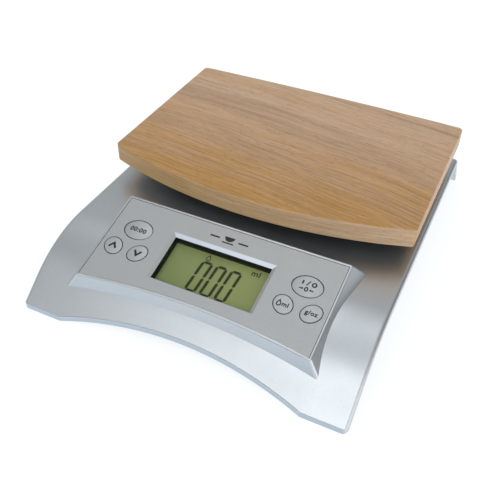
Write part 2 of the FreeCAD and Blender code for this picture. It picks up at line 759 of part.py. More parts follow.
def door_plan(margin, back, z0, z1):
    """Block over the bay's mouth, with a margin at its front and sides, between two heights."""
    return box(-BAY_HALF_X - margin, BAY_HALF_X + margin, at(BAY_FROM) - margin, back, z0, z1)


def hinge_rod(radius, x0, x1):
    """Round bar on the door's hinge line."""
    return rod(radius, Vector(x0, HINGE_Y, HINGE_Z), Vector(x1, HINGE_Y, HINGE_Z))


def hinge_sockets():
    """Round sockets at the ends of the door's hinge line."""
    radius = HINGE_RADIUS + HINGE_CLEARANCE
    end = BAY_HALF_X + 1.0
    return [hinge_rod(radius, -end, -end + 3), hinge_rod(radius, end - 3, end)]


def door_slab():
    """Middle of the door, whose back edge is round about the hinge line."""
    half = BAY_HALF_X - DOOR_GAP
    front = at(BAY_FROM) + DOOR_GAP
    last = math.asin((DOOR_TOP - HINGE_Z) / HINGE_SWEEP)
    rim = []
    for angle in (-math.pi / 2, (last - math.pi / 2) / 2, last):
        y = HINGE_Y + HINGE_SWEEP * math.cos(angle)
        rim.append(Vector(-half, y, HINGE_Z + HINGE_SWEEP * math.sin(angle)))
    low = Vector(-half, front, TRAY_BOTTOM)
    high = Vector(-half, front, DOOR_TOP)
    edges = [Part.makeLine(low, rim[0]), Part.Arc(rim[0], rim[1], rim[2]).toShape()]
    edges += [Part.makeLine(rim[2], high), Part.makeLine(high, low)]
    return Part.Face(Part.Wire(edges)).extrude(Vector(2 * half, 0, 0))


def battery_door():
    """Door with two round hinge lugs, a latch tongue and a thumb recess."""
    plate = door_plan(DOOR_LEDGE, DOOR_SIDES_TO, TRAY_BOTTOM, DOOR_TOP).fuse(door_slab())
    pieces = []
    for side in (-1, 1):
        inner = side * (BAY_HALF_X - HINGE_LUG)
        low_x, high_x = sorted((inner, side * (BAY_HALF_X + 0.8)))
        pieces.append(hinge_rod(HINGE_RADIUS, low_x, high_x))
        low_x, high_x = sorted((inner, side * (BAY_HALF_X - 0.6)))
        pieces.append(box(low_x, high_x, HINGE_Y - 1.0, HINGE_Y + 0.9, TRAY_BOTTOM + 1, HINGE_Z))
    front = at(BAY_FROM) + 1.0
    top = TRAY_BOTTOM + LATCH_TOP
    pieces.append(box(-LATCH_HALF_X, LATCH_HALF_X, front, front + 1.0, TRAY_BOTTOM + 1, top + 0.2))
    pieces.append(box(-LATCH_HALF_X, LATCH_HALF_X, front - 1.5, front + 0.5, top - 1.0, top))
    thumb = Part.makeSphere(THUMB_RADIUS, Vector(0, front + 5.5, TRAY_BOTTOM + THUMB_DEPTH - THUMB_RADIUS))
    return plate.fuse(pieces).cut(thumb).removeSplitter()


def rubber_feet():
    """Four soft feet."""
    feet = []
    for x, run in FOOT_PLACES:
        foot = upright(FOOT_RADIUS, x, at(run), 0, TRAY_BOTTOM + FOOT_RECESS)
        low = [e for e in foot.Edges if e.CenterOfMass.z < 0.01 and e.Closed]
        feet.append(foot.makeFillet(0.4, low))
    return group(feet)


def pan_screw(x, y, head_low, head_top, head_radius, shank_radius, shank_top):
    """Screw from below: a pan head with a cross recess and a plain shank."""
    head = upright(head_radius, x, y, head_low, head_top)
    shank = upright(shank_radius, x, y, head_top, shank_top)
    cross = head_radius * 0.6
    first = box(x - cross, x + cross, y - 0.35, y + 0.35, head_low - 1, head_low + 0.8)
    second = box(x - 0.35, x + 0.35, y - cross, y + cross, head_low - 1, head_low + 0.8)
    return head.fuse(shank).cut(first.fuse(second)).removeSplitter()


def shell_screws():
    """Four screws that close the tray onto the shell."""
    screws = []
    for x, run in SCREW_PLACES:
        screws.append(pan_screw(x, at(run), TRAY_BOTTOM + SCREW_HEAD_LOW, TRAY_BOTTOM + SHELL_HEAD_TOP,
                                SHELL_SCREW_HEAD, SHELL_SCREW_RADIUS, TRAY_BOTTOM + SHELL_SCREW_REACH))
    return group(screws)


# ---- Load cell ----

def load_cell():
    """Aluminium bar with its thinned middle and its screw holes."""
    y = at(CELL_Y_RUN)
    half = CELL_SIDE / 2
    middle_z = CELL_BOTTOM + half
    bar = box(-CELL_LENGTH / 2, CELL_LENGTH / 2, y - half, y + half, CELL_BOTTOM, CELL_BOTTOM + CELL_SIDE)
    for x in CELL_BORES:
        bar = bar.cut(rod(CELL_BORE_RADIUS, Vector(x, y - 10, middle_z), Vector(x, y + 10, middle_z)))
    bar = bar.cut(box(CELL_BORES[0], CELL_BORES[1], y - 10, y + 10, middle_z - 2, middle_z + 2))
    for x in CELL_HOLES:
        bar = bar.cut(upright(CELL_SCREW_RADIUS, -x, y, CELL_BOTTOM - 1, CELL_BOTTOM + 9))
        bar = bar.cut(upright(CELL_SCREW_RADIUS + CELL_SCREW_CLEARANCE, x, y, CELL_BOTTOM - 1,
                              CELL_BOTTOM + CELL_SIDE + 1))
    return bar.removeSplitter()


def cell_screws():
    """Two screws that hold the bar's fixed end to the tray."""
    screws = []
    for x in CELL_HOLES:
        screws.append(pan_screw(-x, at(CELL_Y_RUN), TRAY_BOTTOM + SCREW_HEAD_LOW, TRAY_BOTTOM + CELL_HEAD_TOP,
                                CELL_HEAD_RADIUS, CELL_SCREW_RADIUS, CELL_BOTTOM + 8.5))
    return group(screws)


def strain_gauges():
    """Four thin gauges over the bar's thin places."""
    gauges = []
    y = at(CELL_Y_RUN)
    for x in CELL_BORES:
        for z in (CELL_BOTTOM - GAUGE, CELL_BOTTOM + CELL_SIDE):
            gauges.append(box(x - GAUGE_HALF_X, x + GAUGE_HALF_X, y - GAUGE_HALF_Y, y + GAUGE_HALF_Y,
                              z, z + GAUGE))
    return group(gauges)


def gauge_coating():
    """White sealing compound over the gauges, above and below."""
    coats = []
    y = at(CELL_Y_RUN)
    for low in (CELL_BOTTOM + CELL_SIDE, CELL_BOTTOM - COATING):
        coat = rounded_box(-COATING_HALF_X, COATING_HALF_X, y - COATING_HALF_Y, y + COATING_HALF_Y,
                           low, low + COATING, 3)
        coats.append(coat.cut(strain_gauges()))
    return group(coats)


def bent_tube(points, bends, radius):
    """Tube along straight runs joined by tangent arcs."""
    edges = []
    start = points[0]
    for index, bend in enumerate(bends, 1):
        corner = points[index]
        back = (points[index - 1] - corner).normalize()
        ahead = (points[index + 1] - corner).normalize()
        half = back.getAngle(ahead) / 2
        reach = bend / math.tan(half)
        first = corner + back * reach
        last = corner + ahead * reach
        bisector = (back + ahead).normalize()
        middle = corner + bisector * (bend / math.sin(half) - bend)
        edges.append(Part.makeLine(start, first))
        edges.append(Part.Arc(first, middle, last).toShape())
        start = last
    edges.append(Part.makeLine(start, points[-1]))
    spine = Part.Wire(edges)
    ring = Part.Wire(Part.makeCircle(radius, points[0], points[1] - points[0]))
    return spine.makePipeShell([ring], True, True)


def load_cell_cable():
    """Four-core lead from the bar's gauges to its socket on the board."""
    y = at(CELL_Y_RUN)
    z = CELL_BOTTOM + CELL_SIDE + 1.3
    socket = panel_point(-SOCKET_U, SOCKET_V, BOARD_UNDER - SOCKET_HEIGHT - 0.5)
    points = [Vector(-11.2, y, z), Vector(-SOCKET_U, y, z), Vector(-SOCKET_U, at(105), 13),
              Vector(-SOCKET_U, socket.y + 4, 9), socket]
    return bent_tube(points, [12, 14, 8], CELL_CABLE_RADIUS)


def battery_leads():
    """Red and black leads from the bay to their socket on the board."""
    leads = []
    for shift in (0.0, LEAD_PITCH):
        socket = panel_point(SOCKET_U - LEAD_PITCH / 2 + shift, SOCKET_V, BOARD_UNDER - SOCKET_HEIGHT - 0.1)
        x = socket.x
        start = Vector(BAY_HALF_X + 1.7, at(BAY_FROM) + 5 + 3 * shift, 10)
        points = [start, Vector(x, start.y, 10), Vector(x, at(120), 7), Vector(x, socket.y + 4, 8), socket]
        leads.append(bent_tube(points, [8, 12, 8], LEAD_RADIUS))
    return group(leads)


def overload_stop():
    """Set screw under the bar's free end that takes an overload."""
    x = CELL_HOLES[1]
    y = at(CELL_Y_RUN)
    stop = upright(STOP_RADIUS, x, y, TRAY_BOTTOM + SCREW_HEAD_LOW, CELL_BOTTOM - 0.6)
    return stop.cut(box(x - 2, x + 2, y - 0.3, y + 0.3, TRAY_BOTTOM - 1, TRAY_BOTTOM + 1.2))


# ---- Batteries ----

def battery(row, side):
    """Small cell with its raised cap, lying across the scale."""
    y = BATTERY_ROWS[row]
    start = Vector(-side * (BATTERY_LENGTH / 2 - BATTERY_SHIFT), y, BATTERY_Z)
    end = start + Vector(side * BATTERY_LENGTH, 0, 0)
    can = rod(BATTERY_RADIUS, start, end)
    rims = [e for e in can.Edges if e.Closed]
    can = can.makeFillet(0.5, rims)
    cap = rod(1.9, end - Vector(side, 0, 0), end + Vector(side * 0.9, 0, 0))
    return can.fuse(cap).removeSplitter()


def battery_springs():
    """Coil contact at the negative end of each cell."""
    springs = []
    for row, side in ((0, 1), (1, -1)):
        y = BATTERY_ROWS[row]
        near = -side * (BATTERY_LENGTH / 2 - BATTERY_SHIFT)
        wall = -side * (BAY_HALF_X - CONTACT)
        length = abs(wall - near) - 1.0
        helix = Part.makeHelix(length / 3, length, SPRING_RADIUS)
        ring = Part.Wire(Part.makeCircle(SPRING_WIRE, Vector(SPRING_RADIUS, 0, 0), Vector(0, 1, 0)))
        coil = Part.Wire(helix).makePipeShell([ring], True, True)
        coil.rotate(Vector(0, 0, 0), Vector(0, 1, 0), 90 * side)
        coil.translate(Vector(wall + side * 1.5 * SPRING_WIRE, y, BATTERY_Z))
        springs.append(coil)
    return group(springs)


def battery_contacts():
    """Thin metal plates at the ends of the bay."""
    plates = []
    for side in (-1, 1):
        x = side * (BAY_HALF_X - 0.05 - CONTACT / 2)
        for y in BATTERY_ROWS:
            plates.append(box(x - CONTACT / 2, x + CONTACT / 2, y - CONTACT_HALF, y + CONTACT_HALF,
                              BATTERY_Z - CONTACT_LOW, BATTERY_Z + CONTACT_HALF))
    return group(plates)


# ---- Platform ----

def platter_face(z, inset=0.0):
    """Outline of the wooden platter, with its bowed front and back edges."""
    half = PLATTER_HALF_WIDTH - inset
    front = at(PLATTER_SIDE_FROM) + inset
    back = at(PLATTER_SIDE_TO) - inset
    left_front = Vector(-half, front, z)
    right_front = Vector(half, front, z)
    left_back = Vector(-half, back, z)
    right_back = Vector(half, back, z)
    edges = [Part.Arc(left_front, Vector(0, front - PLATTER_FRONT_BOW, z), right_front).toShape()]
    edges.append(Part.makeLine(right_front, right_back))
    edges.append(Part.Arc(right_back, Vector(0, back + PLATTER_BACK_BOW, z), left_back).toShape())
    edges.append(Part.makeLine(left_back, left_front))
    return Part.Face(Part.Wire(edges))


def platter_block(z0, z1, inset, front_corner, back_corner):
    """Board on the platter's outline between two heights, with rounded corners."""
    board = platter_face(z0, inset).extrude(Vector(0, 0, z1 - z0))
    middle = (at(PLATTER_SIDE_FROM) + at(PLATTER_SIDE_TO)) / 2
    corners = [e for e in board.Edges if abs(e.tangentAt(e.FirstParameter).z) > 0.9]
    board = board.makeFillet(front_corner, [e for e in corners if e.CenterOfMass.y < middle])
    corners = [e for e in board.Edges if abs(e.tangentAt(e.FirstParameter).z) > 0.9]
    return board.makeFillet(back_corner, [e for e in corners if e.CenterOfMass.y > middle + 40])


def wood_platter():
    """Wooden platter with rounded corners and softened rims."""
    low = HEIGHT - PLATTER
    board = platter_block(low, HEIGHT, 0.0, PLATTER_FRONT_CORNER, PLATTER_BACK_CORNER)
    rims = [e for e in board.Edges if abs(abs(e.CenterOfMass.z - HEIGHT + PLATTER / 2) - PLATTER / 2) < 0.01]
    board = board.makeFillet(PLATTER_RIM, rims)
    for x, run in WOOD_SCREW_PLACES:
        board = board.cut(upright(WOOD_SCREW_RADIUS, x, at(run), low - 1, low + WOOD_SCREW_BITE + 0.5))
    return board


def platform_carrier():
    """Ribbed plate with a thin brim under the platter, and the hub that stands on the bar's free end."""
    top = HEIGHT - PLATTER
    half = CARRIER_HALF_X
    y0 = at(CARRIER_FROM)
    y1 = at(CARRIER_TO)
    wall = CARRIER_WALL
    body = rounded_box(-half, half, y0, y1, CARRIER_BOTTOM, top, 8)
    body = body.cut(rounded_box(wall - half, half - wall, y0 + wall, y1 - wall, 0, top - CARRIER_SKIN, 6))
    cell_y = at(CELL_Y_RUN)
    additions = [box(1 - half, half - 1, cell_y - 1, cell_y + 1, CARRIER_BOTTOM, top)]
    for x in CARRIER_RIBS:
        additions.append(box(x - 1, x + 1, y0 + 1, y1 - 1, CARRIER_BOTTOM, top))
    additions.append(hub_block(0, CELL_BOTTOM + CELL_SIDE + CELL_GAP, top))
    corner = PLATTER_BACK_CORNER
    additions.append(platter_block(top - CARRIER_BRIM, top, BRIM_INSET, corner, corner))
    body = body.fuse(additions)
    for x in CELL_HOLES:
        body = body.cut(upright(CELL_HEAD_RADIUS + 0.5, x, cell_y, HUB_SEAT, top + 1))
        body = body.cut(upright(CELL_SCREW_RADIUS, x, cell_y, 10, top))
    for x, run in WOOD_SCREW_PLACES:
        body = body.cut(upright(WOOD_SCREW_RADIUS, x, at(run), 20, top + 1))
    return body.removeSplitter()


def carrier_screws():
    """Two screws from the carrier into the bar's free end."""
    screws = []
    for x in CELL_HOLES:
        y = at(CELL_Y_RUN)
        head = upright(CELL_HEAD_RADIUS, x, y, HUB_SEAT, HUB_SEAT + 2.6)
        shank = upright(CELL_SCREW_RADIUS, x, y, CELL_BOTTOM + 1.5, HUB_SEAT)
        socket = upright(1.4, x, y, HUB_SEAT + 1.0, HUB_SEAT + 3.0)
        screws.append(head.fuse(shank).cut(socket).removeSplitter())
    return group(screws)


def wood_screws():
    """Four screws from the carrier up into the platter."""
    screws = []
    low = HEIGHT - PLATTER - CARRIER_SKIN
    for x, run in WOOD_SCREW_PLACES:
        screws.append(pan_screw(x, at(run), low - 2.0, low, WOOD_SCREW_RADIUS * 2, WOOD_SCREW_RADIUS,
                                low + CARRIER_SKIN + WOOD_SCREW_BITE))
    return group(screws)


# ---- Write every piece ----

export("top_shell", top_shell())
export("bottom_tray", bottom_tray())
export("control_overlay", control_overlay())
export("display_bezel", display_bezel())
export("display_lens", display_lens())
export("lcd_glass", lcd_glass())
export("lcd_contact_strips", contact_strips())
export("control_board", control_board())
export("tact_switches", tact_switches())
export("board_screws", board_screws())
export("controller_chip", controller_chip())
export("timing_crystal", timing_crystal())
export("filter_capacitors", capacitors())
export("board_sockets", board_sockets())
export("timer_buzzer", timer_buzzer())
export("rubber_feet", rubber_feet())
export("shell_screws", shell_screws())
export("load_cell", load_cell())
export("load_cell_screws", cell_screws())
export("strain_gauges", strain_gauges())
export("gauge_coating", gauge_coating())
export("load_cell_cable", load_cell_cable())
export("overload_stop", overload_stop())
export("battery_front", battery(0, 1))
export("battery_rear", battery(1, -1))
export("battery_springs", battery_springs())
export("battery_contacts", battery_contacts())
export("battery_leads", battery_leads())
export("battery_door", battery_door())
export("wood_platter", wood_platter())
export("platform_carrier", platform_carrier())
export("carrier_screws", carrier_screws())
export("wood_screws", wood_screws())
for name, *plan in KEYS:
    export(name, key(*plan))
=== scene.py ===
import json
import math

import bmesh
import bpy
from mathutils import Matrix, Vector


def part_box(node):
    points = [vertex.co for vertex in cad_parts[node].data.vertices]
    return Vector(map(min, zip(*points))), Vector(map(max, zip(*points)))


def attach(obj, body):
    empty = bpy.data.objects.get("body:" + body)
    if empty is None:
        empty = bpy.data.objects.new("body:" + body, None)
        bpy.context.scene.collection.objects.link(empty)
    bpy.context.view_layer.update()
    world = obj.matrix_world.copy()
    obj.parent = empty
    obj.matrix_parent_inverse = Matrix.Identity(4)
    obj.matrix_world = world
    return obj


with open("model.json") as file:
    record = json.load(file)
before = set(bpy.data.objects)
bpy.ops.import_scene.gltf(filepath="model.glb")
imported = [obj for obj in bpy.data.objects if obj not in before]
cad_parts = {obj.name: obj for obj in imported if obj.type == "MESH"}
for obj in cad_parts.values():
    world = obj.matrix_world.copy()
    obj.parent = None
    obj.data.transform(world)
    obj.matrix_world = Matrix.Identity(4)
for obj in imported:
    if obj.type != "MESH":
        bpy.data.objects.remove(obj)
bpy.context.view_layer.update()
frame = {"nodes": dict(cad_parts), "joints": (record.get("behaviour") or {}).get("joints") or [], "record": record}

MM = 0.001
nodes = frame["nodes"]
joints = {joint["name"]: joint for joint in frame["joints"]}

# Directions of the sloping panel: outwards, to the right and up the slope.
OUT = -Vector(joints["button_timer_press"]["axis"]).normalized()
ACROSS = Vector((1, 0, 0))
SLOPE = OUT.cross(ACROSS)

# ---- Camera: the height, turn and tilt at which the scale is seen ----

CAMERA_PLACE = Vector((0.12061, -0.29085, 0.26276))
CAMERA_AZIMUTH = math.radians(24.343)
CAMERA_ELEVATION = math.radians(41.224)
CAMERA_ROLL = math.radians(1.484)
CAMERA_LENS = 48.49


def make_camera():
    """Camera with its right, up and back directions as the columns of its matrix."""
    turn, lift = CAMERA_AZIMUTH, CAMERA_ELEVATION
    back = Vector((math.sin(turn) * math.cos(lift), -math.cos(turn) * math.cos(lift), math.sin(lift)))
    level = Vector((math.cos(turn), math.sin(turn), 0))
    upright = back.cross(level)
    right = level * math.cos(CAMERA_ROLL) + upright * math.sin(CAMERA_ROLL)
    up = back.cross(right)
    camera = bpy.data.objects.new("camera", bpy.data.cameras.new("camera"))
    camera.data.lens = CAMERA_LENS
    camera.data.sensor_width = 36
    camera.data.clip_start = 0.01
    camera.matrix_world = Matrix.Translation(CAMERA_PLACE) @ Matrix((right, up, back)).transposed().to_4x4()
    bpy.context.scene.collection.objects.link(camera)
    bpy.context.scene.camera = camera


# ---- Materials ----

class Finish:
    """A material being built: its node tree, its shader and its textures in object space."""

    # Sockets of a mix node that take and give colours.
    MIX_FACTOR, MIX_FIRST, MIX_SECOND, MIX_RESULT = 0, 6, 7, 2

    def __init__(self, name, roughness, metallic=0.0, **sockets):
        self.material = bpy.data.materials.new(name)
        self.material.use_nodes = True
        self.tree = self.material.node_tree
        self.shader = self.tree.nodes["Principled BSDF"]
        self.set(Roughness=roughness, Metallic=metallic, **sockets)
        self.place = self.node("ShaderNodeTexCoord").outputs["Object"]

    def node(self, kind, **settings):
        """A new node with some of its settings."""
        made = self.tree.nodes.new(kind)
        for name, value in settings.items():
            setattr(made, name, value)
        return made

    def plug(self, value, socket):
        """A constant for a socket, or a link to it."""
        if isinstance(value, bpy.types.NodeSocket):
            self.tree.links.new(value, socket)
        else:
            socket.default_value = value

    def feed(self, node, **inputs):
        """Constants or links for a node's inputs, with _ for each space in a name."""
        for name, value in inputs.items():
            self.plug(value, node.inputs[name.replace("_", " ")])
        return node

    def set(self, **sockets):
        """Constants or links for the shader's inputs."""
        self.feed(self.shader, **sockets)

    def stretched(self, x, y, z, vector=None):
        """Object coordinates, or another vector, multiplied along each axis."""
        mapping = self.feed(self.node("ShaderNodeMapping"), Vector=vector or self.place, Scale=(x, y, z))
        return mapping.outputs["Vector"]

    def noise(self, scale, detail=2.0, rough=0.5, vector=None):
        """Value of a noise texture, with scale in cycles per metre."""
        node = self.node("ShaderNodeTexNoise")
        self.feed(node, Vector=vector or self.place, Scale=scale, Detail=detail, Roughness=rough)
        return node.outputs["Fac"]

    def grain(self, x, y, z, detail, rough=0.5, vector=None):
        """Noise drawn out along an axis, with cycles per metre along each of them."""
        return self.noise(1.0, detail, rough, self.stretched(x, y, z, vector))

    def stripes(self, axis):
        """Value of fine even lines that follow each other along an axis."""
        wave = self.node("ShaderNodeTexWave", bands_direction=axis)
        return self.feed(wave, Vector=self.place, Scale=900.0).outputs["Fac"]

    def math(self, operation, first, second=0.0):
        """Result of one sum."""
        node = self.node("ShaderNodeMath", operation=operation)
        self.plug(first, node.inputs[0])
        self.plug(second, node.inputs[1])
        return node.outputs[0]

    def ramp(self, value, *stops):
        """Colour of a value, from (position, colour) stops."""
        node = self.node("ShaderNodeValToRGB")
        self.tree.links.new(value, node.inputs["Fac"])
        elements = node.color_ramp.elements
        while len(elements) < len(stops):
            elements.new(0.5)
        for element, (position, colour) in zip(elements, stops):
            element.position = position
            element.color = (*colour, 1)
        return node.outputs["Color"]

    def spread(self, value, low, high, start=0.3, end=0.7):
        """A value from start to end, mapped onto low to high."""
        node = self.node("ShaderNodeMapRange")
        self.feed(node, Value=value, From_Min=start, From_Max=end, To_Min=low, To_Max=high)
        return node.outputs["Result"]

    def mix(self, factor, first, second):
        """A textured colour that gives way to a second colour as a factor goes from 0 to 1."""
        node = self.node("ShaderNodeMix", data_type="RGBA")
        if not isinstance(second, bpy.types.NodeSocket):
            second = (*second, 1)
        self.plug(factor, node.inputs[self.MIX_FACTOR])
        self.plug(first, node.inputs[self.MIX_FIRST])
        self.plug(second, node.inputs[self.MIX_SECOND])
        return node.outputs[self.MIX_RESULT]

    def axes(self):
        """The three object coordinates."""
        split = self.node("ShaderNodeSeparateXYZ")
        self.tree.links.new(self.place, split.inputs[0])
        return split.outputs

    def facing(self, aim):
        """How nearly a surface faces along a direction."""
        dot = self.node("ShaderNodeVectorMath", operation="DOT_PRODUCT")
        self.tree.links.new(self.node("ShaderNodeTexCoord").outputs["Normal"], dot.inputs[0])
        dot.inputs[1].default_value = aim
        return dot.outputs["Value"]

    def bump(self, height, depth, strength=1.0):
        """Relief of the surface, with its depth in metres."""
        node = self.feed(self.node("ShaderNodeBump"), Height=height, Strength=strength, Distance=depth)
        self.tree.links.new(node.outputs["Normal"], self.shader.inputs["Normal"])


def silver_paint():
    """Satin silver paint: fine flakes, a little orange peel, uneven gloss, and a painted reflection and shade that
    makes faces turned forward down the slope darker and bluer.
    """
    finish = Finish("silver_paint", 0.36, metallic=0.9)
    flakes = finish.noise(5200, detail=1)
    paint = finish.ramp(flakes, (0.3, (0.54, 0.56, 0.575)), (0.7, (0.66, 0.68, 0.695)))
    # Painted reflection and shade: faces turned forward, such as the console's front wall, take a darker, bluer
    # colour.
    front = finish.spread(finish.facing(-SLOPE), 0.0, 1.0, start=0.85, end=0.95)
    finish.set(Base_Color=finish.mix(front, paint, (0.43, 0.51, 0.60)))
    finish.set(Roughness=finish.spread(finish.noise(60, detail=3), 0.33, 0.39))
    finish.bump(finish.noise(700, detail=2), 0.02 * MM, strength=0.35)
    return finish.material


def panel_paint():
    """Matte silver-grey lacquer of the face plate, with a fine grain, and a painted highlight, pale and bluish, on
    faces tilted forward such as the bevel above the window, which are also more metallic.
    """
    finish = Finish("panel_paint", 0.5)
    grain = finish.noise(3600, detail=2)
    # Painted highlight: faces tilted forward take a pale bluish colour, and are made more metallic too.
    painted_highlight_facing = finish.spread(finish.facing(-SLOPE), 0.0, 1.0, start=0.2, end=0.35)
    lacquer = finish.ramp(grain, (0.3, (0.46, 0.465, 0.46)), (0.7, (0.56, 0.565, 0.56)))
    finish.set(Base_Color=finish.mix(painted_highlight_facing, lacquer, (0.68, 0.72, 0.77)))
    finish.set(Metallic=finish.spread(painted_highlight_facing, 0.55, 0.9, start=0, end=1))
    finish.set(Roughness=finish.spread(finish.noise(90, detail=3), 0.46, 0.54))
    finish.bump(finish.noise(2600, detail=3), 0.02 * MM, strength=0.5)
    return finish.material


def key_paint():
    """Key caps: the plate's lacquer with a coarser sparkle."""
    finish = Finish("key_paint", 0.42, metallic=0.55)
    sparkle = finish.noise(2900, detail=2, rough=0.7)
    finish.set(Base_Color=finish.ramp(sparkle, (0.32, (0.45, 0.46, 0.46)), (0.68, (0.62, 0.63, 0.63))))
    finish.bump(sparkle, 0.03 * MM, strength=0.5)
    return finish.material


def moulded(name, dark, light, roughness, grain=1500):
    """Moulded plastic with a spark-eroded grain."""
    finish = Finish(name, roughness)
    coarse = finish.noise(grain, detail=3)
    finish.set(Base_Color=finish.ramp(coarse, (0.35, dark), (0.65, light)))
    finish.set(Roughness=finish.spread(finish.noise(120), roughness - 0.05, roughness + 0.05))
    finish.bump(coarse, 0.03 * MM, strength=0.6)
    return finish.material


def clear_window():
    """Clear plastic of the display window."""
    finish = Finish("clear_window", 0.06, Alpha=0.12)
    finish.set(Base_Color=finish.ramp(finish.noise(30), (0.3, (0.02, 0.03, 0.02)), (0.7, (0.04, 0.05, 0.04))))
    finish.bump(finish.noise(25), 0.01 * MM, strength=0.1)
    return finish.material


def display_green():
    """Reflective display: yellow-green, with painted shade that makes it darker at the left and lighter and
    yellower to the right.
    """
    finish = Finish("display_green", 0.45, Specular_IOR_Level=0.3)
    # Painted shade across the display: darker at the left, lighter and yellower to the right.
    across = finish.spread(finish.axes()[0], 0.0, 1.0, start=-30 * MM, end=30 * MM)
    cloud = finish.math("ADD", across, finish.spread(finish.noise(45, detail=1), -0.25, 0.25))
    finish.set(Base_Color=finish.ramp(cloud, (0.0, (0.40, 0.48, 0.17)), (1.0, (0.50, 0.55, 0.18))))
    finish.bump(finish.noise(4000), 0.004 * MM, strength=0.3)
    return finish.material


# The platter's grain lines: their slant and bow across the board, and how far they wander.
GRAIN_SLANT = 0.14
GRAIN_BOW = 0.4
GRAIN_WANDER = 3.5 * MM


def wood_grain(finish, edge):
    """Coordinates that follow the grain lines on the board's faces, and run level on its long edges."""
    x, y, z = finish.axes()
    bow = finish.math("MULTIPLY", finish.math("MULTIPLY", x, x), GRAIN_BOW)
    slant = finish.math("ADD", finish.math("MULTIPLY", x, GRAIN_SLANT), bow)
    sway = finish.spread(finish.grain(10, 9, 9, detail=2), -GRAIN_WANDER, GRAIN_WANDER)
    wander = finish.math("MULTIPLY", sway, finish.spread(y, 1.0, 0.3, start=-20 * MM, end=60 * MM))
    course = finish.math("ADD", finish.math("ADD", y, slant), wander)
    level = finish.math("MULTIPLY", course, finish.math("SUBTRACT", 1.0, edge))
    return finish.feed(finish.node("ShaderNodeCombineXYZ"), X=x, Y=level, Z=z).outputs["Vector"]


def oiled_wood():
    """Light hardwood whose grain runs across the scale, golden at the front, with a painted sheen that makes it
    pale behind, and painted light on its long edges.
    """
    finish = Finish("oiled_wood", 0.42, Specular_IOR_Level=0.3)
    x, y, _ = finish.axes()
    edge = finish.math("GREATER_THAN", finish.math("ABSOLUTE", finish.facing((0, 1, 0))), 0.7)
    course = wood_grain(finish, edge)
    bands = finish.grain(4, 60, 90, detail=3, vector=course)
    streaks = finish.grain(9, 260, 420, detail=4, rough=0.6, vector=course)
    fibre = finish.grain(30, 900, 1100, detail=6, rough=0.72, vector=course)
    pores = finish.grain(240, 1900, 1900, detail=2, rough=0.6, vector=course)

    # Painted sheen: pale behind, golden at the front; painted light on the long edges, lighter to the right.
    front = finish.spread(y, 1.0, 0.0, start=-30 * MM, end=60 * MM)
    gold = finish.math("ADD", front, finish.spread(bands, -0.3, 0.3))
    colour = finish.ramp(
        gold, (0.0, (0.74, 0.50, 0.325)), (0.5, (0.66, 0.39, 0.205)), (1.0, (0.585, 0.305, 0.088)))
    # Painted light on the long edges: darker at the left, lighter to the right.
    right = finish.spread(x, 0.0, 1.0, start=-60 * MM, end=60 * MM)
    painted_light_on_edges = finish.ramp(right, (0.0, (0.44, 0.28, 0.11)), (1.0, (0.58, 0.40, 0.25)))
    colour = finish.mix(edge, colour, painted_light_on_edges)

    # Broad brown bands, dark streaks, dark and light fibres, and open pores.
    colour = finish.mix(finish.spread(bands, 0.45, 0.0, start=0.38, end=0.56), colour, (0.42, 0.235, 0.115))
    colour = finish.mix(finish.spread(streaks, 0.0, 0.38, start=0.50, end=0.74), colour, (0.27, 0.145, 0.065))
    colour = finish.mix(finish.spread(fibre, 0.36, 0.0, start=0.34, end=0.5), colour, (0.26, 0.12, 0.055))
    colour = finish.mix(finish.spread(fibre, 0.0, 0.30, start=0.5, end=0.66), colour, (0.82, 0.62, 0.43))
    colour = finish.mix(finish.spread(pores, 0.0, 0.42, start=0.56, end=0.70), colour, (0.20, 0.105, 0.05))
    finish.set(Base_Color=colour, Roughness=finish.spread(fibre, 0.38, 0.5))
    finish.bump(finish.math("SUBTRACT", fibre, pores), 0.06 * MM, strength=0.4)
    return finish.material


def layered_rubber():
    """Contact strip of thin conducting and insulating layers."""
    finish = Finish("layered_rubber", 0.6)
    layers = finish.stripes("X")
    finish.set(Base_Color=finish.ramp(layers, (0.4, (0.65, 0.33, 0.38)), (0.6, (0.10, 0.09, 0.09))))
    finish.bump(finish.noise(1200), 0.02 * MM)
    return finish.material


def circuit_board():
    """Green solder mask over copper tracks."""
    finish = Finish("circuit_board", 0.35, Coat_Weight=0.4, Coat_Roughness=0.2)
    cells = finish.node("ShaderNodeTexVoronoi", distance="MANHATTAN", feature="DISTANCE_TO_EDGE")
    finish.feed(cells, Vector=finish.place, Scale=260.0)
    track = finish.ramp(cells.outputs["Distance"], (0.05, (0.02, 0.16, 0.05)), (0.09, (0.008, 0.075, 0.025)))
    finish.set(Base_Color=track)
    finish.bump(finish.spread(cells.outputs["Distance"], 1.0, 0.0, start=0.04, end=0.1), 0.04 * MM)
    return finish.material


def brushed(name, dark, light, roughness, stretch):
    """Bare metal with fine tool marks along one axis."""
    finish = Finish(name, roughness, metallic=1.0)
    marks = finish.grain(*stretch, detail=4)
    finish.set(Base_Color=finish.ramp(marks, (0.3, dark), (0.7, light)))
    finish.set(Roughness=finish.spread(marks, roughness - 0.08, roughness + 0.08))
    finish.bump(marks, 0.02 * MM, strength=0.4)
    return finish.material


def foil_gauge():
    """Copper grid of a strain gauge on its film."""
    finish = Finish("foil_gauge", 0.35, metallic=0.6)
    wires = finish.stripes("Y")
    finish.set(Base_Color=finish.ramp(wires, (0.4, (0.6, 0.3, 0.12)), (0.6, (0.72, 0.55, 0.30))))
    finish.bump(wires, 0.02 * MM)
    return finish.material


